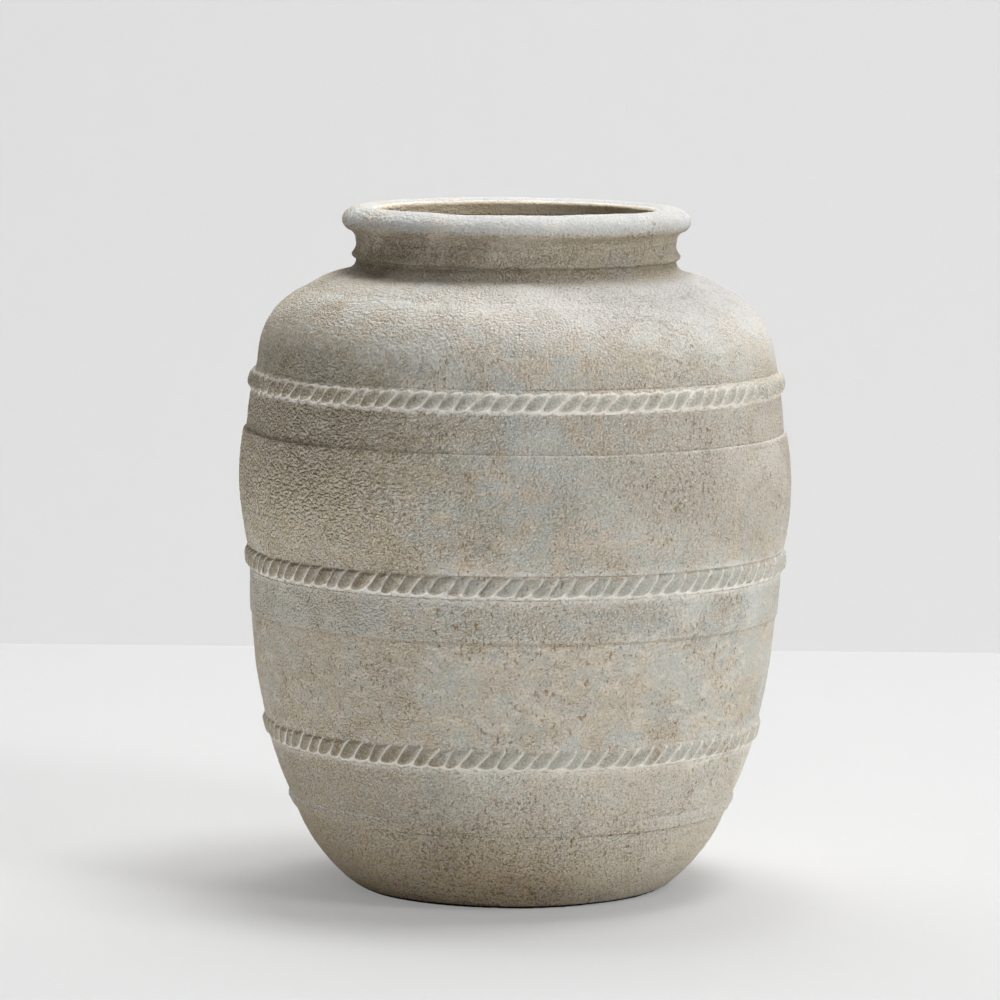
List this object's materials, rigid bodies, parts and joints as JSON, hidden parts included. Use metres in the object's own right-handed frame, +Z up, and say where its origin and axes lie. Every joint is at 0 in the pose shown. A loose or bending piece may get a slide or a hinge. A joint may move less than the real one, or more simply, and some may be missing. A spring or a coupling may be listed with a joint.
{
  "type": "pithos storage jar",
  "caption": "Large clay storage jar built in courses, with a narrow foot, full belly, round shoulder, short beaded neck, rolled rim and rope-pattern bands over its joints.",
  "frame": {"origin": "centre of the foot ring, on the floor that the jar stands on", "axes": "+Z up along the jar's axis; -Y is the side that the picture shows"},
  "size_m": [0.406, 0.406, 0.5],
  "materials": {
    "washed_clay": "rough fired clay, grey-beige, with a worn pale wash, pits and ochre specks",
    "rope_clay": "rough fired clay with cream wash left in the grooves",
    "bare_clay": "rough fired clay, unwashed"
  },
  "bodies": {
    "root": {"base_slab": "bare_clay", "foot_wall": "washed_clay", "lower_wall": "washed_clay", "flank_wall": "washed_clay", "waist_wall": "washed_clay", "belly_wall": "washed_clay", "upper_wall": "washed_clay", "shoulder_wall": "washed_clay", "neck_collar": "washed_clay", "rim_roll": "washed_clay", "neck_bead": "washed_clay", "upper_rope": "rope_clay", "middle_rope": "rope_clay", "lower_rope": "rope_clay", "foot_strip": "washed_clay"}
  },
  "joints": []
}
